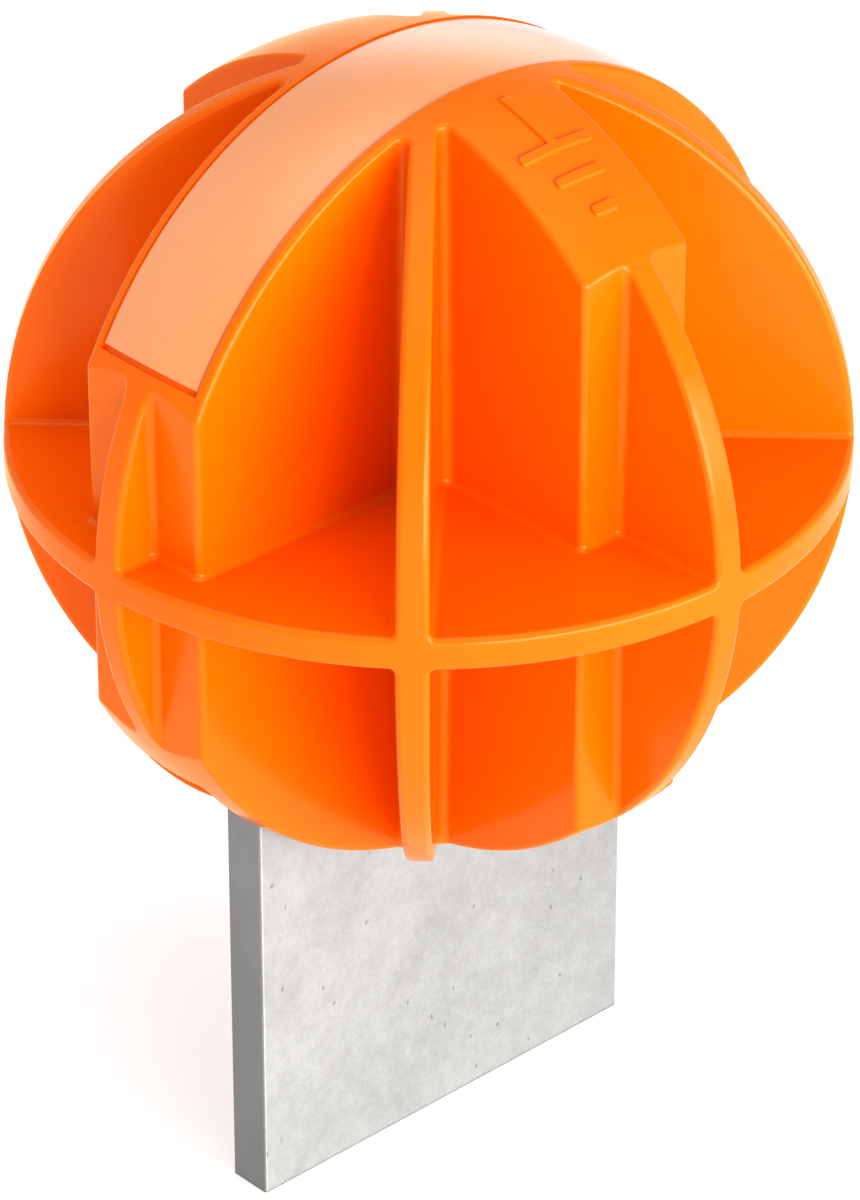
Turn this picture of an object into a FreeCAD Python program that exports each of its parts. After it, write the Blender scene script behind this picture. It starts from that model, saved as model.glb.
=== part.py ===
"""Ball-shaped safety cap on the end of a flat steel earthing strip.

Everything is in millimetres. Z is up, X runs along the width of the strip and Y through its
thickness. The origin is the middle of the strip's lower end face.

The cap is one moulding: a ribbed ball with a level disc round its equator, two crossed box arms
that hold the socket, four diagonal ribs and four short ribs on the ends of the arms. The ribs
grow thinner away from the disc. A strip of reflective film lies in a recess over the longer
arm. The cap pulls straight up off the strip.
"""
import FreeCAD, Part
import math
import os

# Flat strip
STRIP_WIDTH = 30.0
STRIP_THICKNESS = 3.0
STRIP_EDGE = 0.2

# Ball
BALL_RADIUS = 25.0
BALL_CENTRE_Z = 46.7
WEB = 2.0                    # thickness of the disc, and of every rib where it leaves the disc
RIB_DRAFT_DEGREES = 0.5      # each side of a rib
ROOT_RADIUS = 0.45           # upright inner corners of a pocket
CORNER_RADIUS = 0.4          # upright outer corners of the arms
FLOOR_RADIUS = 0.4           # foot of a pocket's walls
RIM_RADIUS = 0.36            # mouths of the pockets

# Box arms: half length and half width
FILM_ARM = (22.03, 4.75)     # along X
SIGN_ARM = (17.07, 4.07)     # along Y

# Socket: two crossed slots, open below
WIDE_SLOT = (40.4, 5.2)      # along X
NARROW_SLOT = (3.7, 30.4)    # along Y
ROOF_THICKNESS = 2.0
SOCKET_CORNER = 0.5
STOP_LEVEL = 17.0            # underside of the stop pads, above the ball's centre
STOP_PLACES = (-8.0, 8.0)
STOP_LENGTH = 2.0
GRIP_PLACES = (-12.5, -5.0, 5.0, 12.5)
GRIP_LEVEL = -19.0           # lower end of the grip ribs
LIP_LEVEL = -11.0            # lower end of the lips that centre the strip's width
GRIP_THICKNESS = 0.8
GRIP_CLEARANCE = 0.06

# Film, and its recess over the top of the longer arm
FILM_RADIUS = 24.88
FILM_THICKNESS = 0.18
FILM_WIDTH = 8.0
FILM_END_DEGREES = 30.5      # above the disc
RECESS_SIDE_GAP = 0.1
RECESS_END_DEGREES = 29.7

# Raised earth sign on the -Y end of the shorter arm
SIGN_HEIGHT = 0.2
SIGN_LINE = 0.65
SIGN_BARS = (5.4, 3.6, 1.8)
SIGN_PITCH = 2.0
SIGN_STEM = 4.2
SIGN_START = 6.2             # from the ball's axis to the end of the stem
SIGN_END_RADIUS = 0.25
SIGN_TOP_RADIUS = 0.12

# Worked out from the values above
RIB_DRAFT = math.tan(math.radians(RIB_DRAFT_DEGREES))
FAR = BALL_RADIUS + 3.0
ORIGIN = FreeCAD.Vector()
ALONG_X = FreeCAD.Vector(1, 0, 0)
ALONG_Y = FreeCAD.Vector(0, 1, 0)
UP = FreeCAD.Vector(0, 0, 1)
STRIP_LENGTH = BALL_CENTRE_Z + STOP_LEVEL


def box(x_range, y_range, z_range):
    """A box between the two limits given along each axis."""
    low = FreeCAD.Vector(x_range[0], y_range[0], z_range[0])
    high = FreeCAD.Vector(x_range[1], y_range[1], z_range[1])
    size = high - low
    return Part.makeBox(size.x, size.y, size.z, low)


def middle(edge):
    """The point half way along an edge."""
    return edge.valueAt((edge.FirstParameter + edge.LastParameter) / 2)


def runs_upright(edge):
    """True for an edge that climbs by more than a fillet does."""
    return edge.BoundBox.ZLength > 1.0 and edge.BoundBox.ZLength > 0.9 * edge.Length


def on_ball(edge, radius):
    """True for an edge that lies on the ball's surface, apart from the surface's own seam."""
    ends = [edge.valueAt(edge.FirstParameter), middle(edge), edge.valueAt(edge.LastParameter)]
    seam = max(abs(point.y) for point in ends) < 1e-6
    return not seam and all(abs(point.Length - radius) < 1e-4 for point in ends)


# ---- the ball's outside -----------------------------------------------------------------

def pocket_outline(arm, height):
    """Corners of one pocket beside an arm along +X, with the ribs' thickness at this height."""
    end, wall = arm
    rib = WEB / 2 - height * RIB_DRAFT
    diagonal = rib * math.sqrt(2)
    corners = ((wall + diagonal, wall), (end, wall), (end, rib), (FAR, rib), (FAR, FAR - diagonal))
    return [FreeCAD.Vector(x, y, height) for x, y in corners]


def pocket(arm):
    """The space above the disc between an arm along +X, its end rib and the diagonal rib."""
    low = pocket_outline(arm, WEB / 2)
    high = pocket_outline(arm, FAR)
    faces = [Part.Face(Part.makePolygon(ring + ring[:1])) for ring in (low[::-1], high)]
    for i in range(len(low)):
        j = (i + 1) % len(low)
        faces.append(Part.Face(Part.makePolygon([low[i], low[j], high[j], high[i], low[i]])))
    shell = Part.makeShell(faces)
    shell.sewShape()
    space = Part.Solid(shell)

    def uprights(is_arm_corner):
        inside = [e for e in space.Edges if runs_upright(e) and middle(e).x < BALL_RADIUS]
        return [e for e in inside
                if (middle(e).y > WEB and middle(e).x > arm[0] - 1.0) == is_arm_corner]

    space = space.makeFillet(ROOT_RADIUS, uprights(False))
    space = space.makeFillet(CORNER_RADIUS, uprights(True)[:1])
    floor = [e for e in space.Edges if abs(e.BoundBox.ZMax - WEB / 2) < 1e-6
             and e.BoundBox.XMin < BALL_RADIUS]
    return space.makeFillet(FLOOR_RADIUS, floor)


def sixteen_pockets():
    """Both kinds of pocket in each quadrant, above and below the disc."""
    beside_film_arm = pocket(FILM_ARM)
    beside_sign_arm = pocket(SIGN_ARM).mirror(ORIGIN, FreeCAD.Vector(1, -1, 0))
    spaces = [beside_film_arm, beside_sign_arm]
    for normal in (ALONG_X, ALONG_Y, UP):
        spaces += [space.mirror(ORIGIN, normal) for space in spaces]
    return spaces


def ribbed_ball():
    """The ball less its pockets, with the pockets' rims rounded."""
    body = Part.makeSphere(BALL_RADIUS)
    for space in sixteen_pockets():
        body = body.cut(space)
    rims = [e for e in body.Edges if not e.Degenerated and on_ball(e, BALL_RADIUS)]
    return body.makeFillet(RIM_RADIUS, rims)


# ---- the socket -------------------------------------------------------------------------

def slot(size):
    """One upright slot, open below, as long and wide as given."""
    x, y = size[0] / 2, size[1] / 2
    return box((-x, x), (-y, y), (-FAR, FAR))


def socket():
    """Two crossed slots under a domed roof."""
    space = slot(WIDE_SLOT).fuse(slot(NARROW_SLOT)).removeSplitter()
    space = space.makeFillet(SOCKET_CORNER, [e for e in space.Edges if runs_upright(e)])
    inner = BALL_RADIUS - ROOF_THICKNESS
    room = Part.makeSphere(inner).fuse(Part.makeCylinder(inner, FAR, ORIGIN, -UP))
    return space.common(room)


def grips():
    """Ribs and lips that hold the strip in the middle of the wide slot, and its stop pads."""
    reach = WIDE_SLOT[1] / 2 + GRIP_THICKNESS
    tip = STRIP_THICKNESS / 2 + GRIP_CLEARANCE
    half = GRIP_THICKNESS / 2
    pieces = []
    for x in GRIP_PLACES:
        pieces.append(box((x - half, x + half), (tip, reach), (GRIP_LEVEL, FAR)))
        pieces.append(box((x - half, x + half), (-reach, -tip), (GRIP_LEVEL, FAR)))
    far_end = WIDE_SLOT[0] / 2 + GRIP_THICKNESS
    near_end = STRIP_WIDTH / 2 + GRIP_CLEARANCE
    pieces.append(box((near_end, far_end), (-half, half), (LIP_LEVEL, FAR)))
    pieces.append(box((-far_end, -near_end), (-half, half), (LIP_LEVEL, FAR)))
    for x in STOP_PLACES:
        ends = (x - STOP_LENGTH / 2, x + STOP_LENGTH / 2)
        pieces.append(box(ends, (-reach, reach), (STOP_LEVEL, FAR)))
    inside = Part.makeSphere(BALL_RADIUS - ROOF_THICKNESS / 2)
    return [piece.common(inside) for piece in pieces]


# ---- film and sign ----------------------------------------------------------------------

def band(outer, inner, width, end_degrees):
    """A strip of a ball's skin over the top, along X, down to an angle above the disc each side."""
    skin = Part.makeSphere(outer, ORIGIN, ALONG_Y).cut(Part.makeSphere(inner, ORIGIN, ALONG_Y))
    skin.rotate(ORIGIN, ALONG_Y, 180)    # puts the seam underneath
    out = 2 * FAR * math.cos(math.radians(end_degrees))
    up = 2 * FAR * math.sin(math.radians(end_degrees))
    corners = ((0, 0), (out, up), (out, 2 * FAR), (-out, 2 * FAR), (-out, up), (0, 0))
    sector = Part.Face(Part.makePolygon([FreeCAD.Vector(x, -width / 2, z) for x, z in corners]))
    return skin.common(sector.extrude(ALONG_Y * width))


def sign():
    """The earth sign: a stem and three shortening bars, standing on the ball's surface."""
    half = SIGN_LINE / 2
    end = SIGN_START + SIGN_STEM
    levels = (0.0, FAR)
    lines = [box((-half, half), (-end, -SIGN_START), levels)]
    for i, length in enumerate(SIGN_BARS):
        y = -end - i * SIGN_PITCH
        lines.append(box((-length / 2, length / 2), (y - half, y + half), levels))
    mark = lines[0].fuse(lines[1:]).removeSplitter()
    ends = [e for e in mark.Edges if runs_upright(e) and abs(middle(e).x) > SIGN_LINE]
    mark = mark.makeFillet(SIGN_END_RADIUS, ends)
    top = BALL_RADIUS + SIGN_HEIGHT
    core = Part.makeSphere(BALL_RADIUS - SIGN_HEIGHT)
    mark = mark.common(Part.makeSphere(top)).cut(core)
    return mark.makeFillet(SIGN_TOP_RADIUS, [e for e in mark.Edges if on_ball(e, top)])


# ---- nodes ------------------------------------------------------------------------------

def ball_cap():
    """The whole moulding, about the ball's centre."""
    body = ribbed_ball().cut(socket())
    body = body.fuse(grips())
    recess_width = FILM_WIDTH + 2 * RECESS_SIDE_GAP
    body = body.cut(band(FAR, FILM_RADIUS - FILM_THICKNESS, recess_width, RECESS_END_DEGREES))
    return body.fuse(sign()).removeSplitter()


def reflective_film():
    """The film, lying on the floor of its recess."""
    return band(FILM_RADIUS, FILM_RADIUS - FILM_THICKNESS, FILM_WIDTH, FILM_END_DEGREES)


def earthing_strip():
    """The flat strip, from its lower end to the stop pads, with its long edges broken."""
    x, y = STRIP_WIDTH / 2, STRIP_THICKNESS / 2
    body = box((-x, x), (-y, y), (0, STRIP_LENGTH))
    return body.makeFillet(STRIP_EDGE, [e for e in body.Edges if runs_upright(e)])


os.makedirs("parts", exist_ok=True)
nodes = {
    "ball_cap": ball_cap().translated(UP * BALL_CENTRE_Z),
    "reflective_film": reflective_film().translated(UP * BALL_CENTRE_Z),
    "earthing_strip": earthing_strip(),
}
for name, shape in nodes.items():
    shape.exportStep(f"parts/{name}.step")
    limits = shape.BoundBox
    print(name, "valid", shape.isValid(), "solids", len(shape.Solids), "volume", round(shape.Volume, 1),
          "z", round(limits.ZMin, 2), round(limits.ZMax, 2))
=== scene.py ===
"""A ball-shaped safety cap on the end of a flat galvanised earthing strip, in a plain pale studio.

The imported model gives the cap, its film and the strip. This script adds their materials, the
floor, the light and the camera. Lengths are in metres.
"""

import math

import bpy
from mathutils import Matrix, Vector

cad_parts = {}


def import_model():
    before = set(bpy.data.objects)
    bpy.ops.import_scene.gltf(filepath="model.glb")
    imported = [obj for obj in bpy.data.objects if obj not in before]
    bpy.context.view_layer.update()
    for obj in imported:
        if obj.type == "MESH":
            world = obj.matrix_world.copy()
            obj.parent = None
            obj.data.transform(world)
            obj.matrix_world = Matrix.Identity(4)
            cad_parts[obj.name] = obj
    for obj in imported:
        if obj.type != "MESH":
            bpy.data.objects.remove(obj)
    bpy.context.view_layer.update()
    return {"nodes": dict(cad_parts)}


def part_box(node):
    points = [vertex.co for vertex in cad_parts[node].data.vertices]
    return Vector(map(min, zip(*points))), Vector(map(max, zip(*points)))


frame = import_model()

MM = 0.001
BALL_RADIUS = 25.0 * MM
BALL_CENTRE = Vector((0, 0, 46.7 * MM))

# Camera. Directions everywhere are an azimuth and an elevation in degrees, as seen from the ball.
VIEW_FROM = (-42.92, 30.63)
VIEW_DISTANCE = 14.077 * BALL_RADIUS     # along the view, from the ball's centre
VIEW_SHIFT = (-0.0033 * BALL_RADIUS, 0.3841 * BALL_RADIUS)     # the ball's place in the view, right and up
LENS = 179.2
SENSOR = 36.0
CLIP = (0.01, 20.0)

# Studio
FLOOR_HALF_SIZE = 4.0
FLOOR_GREY = 0.6
FLOOR_GLOW = 0.55
SKY_LIGHT = 1.8                          # the world's strength straight above
SKY_SHARES = ((0.06, 0.36), (0.2, 0.23), (0.75, 0.23), (1.0, 1.0))     # at each height, as a direction's Z
GLOWS = (((135.0, 15.0), 22.0, 1.3), ((200.0, 35.0), 6.0, 0.5))        # direction, sharpness, strength
KEY_FROM = (2.0, 9.0)
KEY_SIZE = (1.4, 0.40)
KEY_RADIANCE = 10.5

# Film: a painted shade line along its long sides, standing in for the shadow of the step beside it, inwards
# from the side
FILM_EDGE_SHADE_STARTS = 0.13 * MM
FILM_EDGE_SHADE_ENDS = 0.06 * MM

# Strip: painted light by facing, from its wide faces over painted highlights on the round edges to painted
# shade on its narrow faces
FACING_PAINTED_LIGHT = ((0.08, 0.5), (0.25, 0.62), (0.5, 0.9), (0.62, 0.42), (0.97, 0.34))
NICK_BEND = 0.9 * MM                     # how far the mottle pushes the nicks out of shape
FOOT_LINE = (0.05 * MM, 0.15 * MM)       # a thin dark line along the cut end
PAINTED_FOOT_REACH = 30 * MM                     # how far up from its foot the strip gets painted light: lighter wide faces, darker narrow faces


# ---- node helpers -----------------------------------------------------------------------

def new_material(name):
    """An empty node material, its node tree and its Principled shader."""
    material = bpy.data.materials.new(name)
    material.use_nodes = True
    tree = material.node_tree
    return material, tree, tree.nodes["Principled BSDF"]


def feed(tree, node, inputs):
    """Links a socket to each named or numbered input of a node, or sets the input's value."""
    for key, source in inputs.items():
        if isinstance(source, bpy.types.NodeSocket):
            tree.links.new(source, node.inputs[key])
        else:
            node.inputs[key].default_value = source


def coordinates(tree, output="Object"):
    """One of the texture coordinates, in the object's own space unless named."""
    return tree.nodes.new("ShaderNodeTexCoord").outputs[output]


def axes(tree, vector):
    """The X, Y and Z sockets of a vector."""
    node = tree.nodes.new("ShaderNodeSeparateXYZ")
    feed(tree, node, {"Vector": vector})
    return node.outputs


def maths(tree, operation, *sources, clamp=False):
    """The value of a maths node over sockets or numbers."""
    node = tree.nodes.new("ShaderNodeMath")
    node.operation = operation
    node.use_clamp = clamp
    feed(tree, node, dict(enumerate(sources)))
    return node.outputs["Value"]


def vector_maths(tree, operation, *sources):
    """The result of a vector maths node over sockets or vectors."""
    node = tree.nodes.new("ShaderNodeVectorMath")
    node.operation = operation
    feed(tree, node, dict(enumerate(sources)))
    return node.outputs["Value" if operation == "DOT_PRODUCT" else "Vector"]


def product(tree, factors):
    """The factors multiplied together."""
    result = factors[0]
    for factor in factors[1:]:
        result = maths(tree, "MULTIPLY", result, factor)
    return result


def noise(tree, place, scale, detail, roughness):
    """A noise texture, scale in cells per metre."""
    node = tree.nodes.new("ShaderNodeTexNoise")
    feed(tree, node, {"Vector": place, "Scale": scale, "Detail": detail, "Roughness": roughness})
    return node.outputs


def cells(tree, place, scale):
    """The distance to the nearest of scattered points, scale in points per metre."""
    node = tree.nodes.new("ShaderNodeTexVoronoi")
    feed(tree, node, {"Vector": place, "Scale": scale})
    return node.outputs["Distance"]


def ramp(tree, source, stops):
    """A colour ramp over a value, as (position, colour) stops."""
    node = tree.nodes.new("ShaderNodeValToRGB")
    elements = node.color_ramp.elements
    while len(elements) < len(stops):
        elements.new(0.5)
    for element, (position, colour) in zip(elements, stops):
        element.position = position
        element.color = (*colour, 1.0)
    feed(tree, node, {"Fac": source})
    return node.outputs["Color"]


def grey_ramp(tree, source, stops):
    """A ramp over a value, as (position, grey level) stops."""
    return ramp(tree, source, [(position, (level,) * 3) for position, level in stops])


def remap(tree, source, low, high, out_low, out_high):
    """A value carried from one range to another, and held at its ends."""
    node = tree.nodes.new("ShaderNodeMapRange")
    feed(tree, node, {"Value": source, "From Min": low, "From Max": high})
    feed(tree, node, {"To Min": out_low, "To Max": out_high})
    return node.outputs["Result"]


def bump(tree, height, strength, distance=0.01 * MM):
    """A bumped normal. distance is the height's full size."""
    node = tree.nodes.new("ShaderNodeBump")
    feed(tree, node, {"Height": height, "Strength": strength, "Distance": distance})
    return node.outputs["Normal"]


# ---- materials --------------------------------------------------------------------------

def orange_moulding():
    """Semi-gloss signal orange plastic with a very fine moulded grain, its reflections tinted by a coat."""
    material, tree, shader = new_material("orange_moulding")
    place = coordinates(tree)
    cloud = noise(tree, place, scale=90.0, detail=2.0, roughness=0.5)["Fac"]
    grain = noise(tree, place, scale=5200.0, detail=2.0, roughness=0.6)["Fac"]
    feed(tree, shader, {
        "Base Color": ramp(tree, cloud, ((0.3, (1.0, 0.153, 0.0)), (0.7, (1.0, 0.17, 0.0)))),
        "Roughness": remap(tree, grain, 0.3, 0.7, 0.17, 0.22),
        "Normal": bump(tree, grain, strength=0.05),
        "Specular IOR Level": 0.3,
        "Specular Tint": (1.0, 0.95, 0.85, 1.0),
        "Coat Weight": 1.0,
        "Coat Roughness": 0.25,
        "Coat IOR": 1.1,
        "Coat Tint": (1.0, 0.88, 0.45, 1.0)})
    return material


def film():
    """Glossy pale orange reflective film, with the faint cells of its backing and a painted shade line along
    its long edges.
    """
    material, tree, shader = new_material("reflective_film")
    place = coordinates(tree)
    backing = cells(tree, place, scale=2600.0)
    half_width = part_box("reflective_film")[1][1]
    across = maths(tree, "ABSOLUTE", axes(tree, place)["Y"])
    # The mix paints a dark line along the film's long edges: painted shade for the shadow of the step at its
    # sides.
    colour = tree.nodes.new("ShaderNodeMix")
    colour.data_type = "RGBA"
    feed(tree, colour, {
        "Factor": remap(tree, across, half_width - FILM_EDGE_SHADE_STARTS, half_width - FILM_EDGE_SHADE_ENDS, 0.0, 1.0),
        "A": ramp(tree, backing, ((0.0, (1.0, 0.345, 0.10)), (1.0, (1.0, 0.325, 0.086)))),
        "B": (0.8, 0.12, 0.01, 1.0)})
    feed(tree, shader, {
        "Base Color": colour.outputs["Result"],
        "Roughness": 0.32,
        "Normal": bump(tree, backing, strength=0.08),
        "Coat Weight": 1.0,
        "Coat Roughness": 0.12,
        "Coat IOR": 1.6})
    return material


def galvanised_steel():
    """Hot-dip zinc: cloudy and finely mottled, with small dark nicks, painted highlights on its round edges
    and painted shade on its narrow faces.
    """
    material, tree, shader = new_material("galvanised_steel")
    place = coordinates(tree)
    half_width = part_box("earthing_strip")[1][0]
    along = axes(tree, place)
    cloud = noise(tree, vector_maths(tree, "MULTIPLY", place, (1.0, 1.0, 0.7)), 150.0, 3.0, 0.6)["Fac"]
    mottle = noise(tree, place, 900.0, 3.0, 0.6)
    grain = noise(tree, place, 3600.0, 2.0, 0.6)["Fac"]
    bent = vector_maths(tree, "MULTIPLY_ADD", mottle["Color"], (NICK_BEND,) * 3, place)
    nicks = cells(tree, vector_maths(tree, "MULTIPLY", bent, (1.5, 1.0, 0.8)), scale=480.0)
    sideways = maths(tree, "ABSOLUTE", axes(tree, coordinates(tree, "Normal"))["X"])
    painted_foot_mask = remap(tree, along["Z"], 0.0, PAINTED_FOOT_REACH, 1.0, 0.0)
    # Real cloud, mottle, grain and nicks, multiplied with painted light and shade by facing, width and
    # nearness to the foot.
    tone_and_painted_light = product(tree, (
        remap(tree, cloud, 0.38, 0.58, 0.92, 1.03),
        remap(tree, mottle["Fac"], 0.3, 0.7, 0.94, 1.05),
        remap(tree, grain, 0.3, 0.7, 0.95, 1.04),
        remap(tree, nicks, 0.04, 0.09, 0.5, 1.0),
        # Painted shade across the width: lighter at -X, darker towards +X.
        remap(tree, along["X"], -half_width, half_width, 1.05, 0.90),
        remap(tree, along["Z"], *FOOT_LINE, 0.6, 1.0),
        # Painted light near the foot: the wide faces lighter and the narrow faces darker towards the bottom.
        remap(tree, painted_foot_mask, 0.0, 1.0, 0.99, 1.07),
        remap(tree, product(tree, (painted_foot_mask, sideways)), 0.0, 1.0, 1.0, 0.70),
        # Painted highlight on the round edges and painted shade on the narrow faces, by which way the surface
        # faces.
        grey_ramp(tree, sideways, FACING_PAINTED_LIGHT)))
    feed(tree, shader, {
        "Base Color": vector_maths(tree, "MULTIPLY", (0.685, 0.70, 0.68), tone_and_painted_light),
        "Roughness": remap(tree, mottle["Fac"], 0.3, 0.7, 0.42, 0.58),
        "Normal": bump(tree, grain, strength=0.4),
        "Metallic": 0.3})
    return material


def dress(node, material):
    """Gives a CAD node its material."""
    mesh = frame["nodes"][node].data
    mesh.materials.clear()
    mesh.materials.append(material)


# ---- studio -----------------------------------------------------------------------------

def direction(azimuth, elevation):
    """A unit vector, from degrees. Azimuth 0 is at -Y and 90 at +X."""
    turn, climb = math.radians(azimuth), math.radians(elevation)
    return Vector((math.sin(turn) * math.cos(climb), -math.cos(turn) * math.cos(climb), math.sin(climb)))


def floor():
    """A plain pale light table under the foot of the strip."""
    mesh = bpy.data.meshes.new("floor")
    corners = [(x * FLOOR_HALF_SIZE, y * FLOOR_HALF_SIZE, 0) for x, y in ((-1, -1), (1, -1), (1, 1), (-1, 1))]
    mesh.from_pydata(corners, [], [(0, 1, 2, 3)])
    ground = bpy.data.objects.new("floor", mesh)
    bpy.context.collection.objects.link(ground)
    material, tree, shader = new_material("floor")
    feed(tree, shader, {
        "Base Color": (FLOOR_GREY, FLOOR_GREY, FLOOR_GREY, 1.0),
        "Roughness": 0.9,
        "Emission Color": (1.0, 1.0, 1.0, 1.0),
        "Emission Strength": FLOOR_GLOW})
    mesh.materials.append(material)


def world():
    """A pale world, brightest straight above, with two soft low glows behind."""
    sky = bpy.data.worlds.new("studio")
    sky.use_nodes = True
    tree = sky.node_tree
    way = coordinates(tree, "Generated")
    strength = maths(tree, "MULTIPLY", grey_ramp(tree, axes(tree, way)["Z"], SKY_SHARES), SKY_LIGHT)
    for centre, sharpness, radiance in GLOWS:
        facing = vector_maths(tree, "DOT_PRODUCT", way, direction(*centre))
        glow = maths(tree, "POWER", facing, sharpness, clamp=True)
        strength = maths(tree, "MULTIPLY_ADD", glow, radiance, strength)
    feed(tree, tree.nodes["Background"], {"Color": (1.0, 1.0, 1.0, 1.0), "Strength": strength})
    bpy.context.scene.world = sky


def key_light():
    """A long low softbox in front, a metre from the ball and facing it."""
    light = bpy.data.lights.new("key", "AREA")
    light.shape = "RECTANGLE"
    light.size, light.size_y = KEY_SIZE
    light.energy = KEY_RADIANCE * math.pi * KEY_SIZE[0] * KEY_SIZE[1]
    lamp = bpy.data.objects.new("key", light)
    way = direction(*KEY_FROM)
    lamp.location = BALL_CENTRE + way
    lamp.rotation_mode = "QUATERNION"
    lamp.rotation_quaternion = (-way).to_track_quat("-Z", "Y")
    lamp.visible_camera = False
    bpy.context.collection.objects.link(lamp)


def camera():
    """The camera, looking down from the front left at the middle of the whole object."""
    back = direction(*VIEW_FROM)
    right = Vector((0, 0, 1)).cross(back).normalized()
    up = back.cross(right)
    data = bpy.data.cameras.new("camera")
    data.lens = LENS
    data.sensor_width = SENSOR
    data.clip_start, data.clip_end = CLIP
    eye = bpy.data.objects.new("camera", data)
    place = BALL_CENTRE + back * VIEW_DISTANCE - right * VIEW_SHIFT[0] - up * VIEW_SHIFT[1]
    turn = Matrix((right, up, back)).transposed().to_4x4()
    eye.matrix_world = Matrix.Translation(place) @ turn
    bpy.context.collection.objects.link(eye)
    bpy.context.scene.camera = eye


camera()
floor()
world()
key_light()
bpy.context.scene.view_settings.view_transform = "Standard"
dress("ball_cap", orange_moulding())
dress("reflective_film", film())
dress("earthing_strip", galvanised_steel())
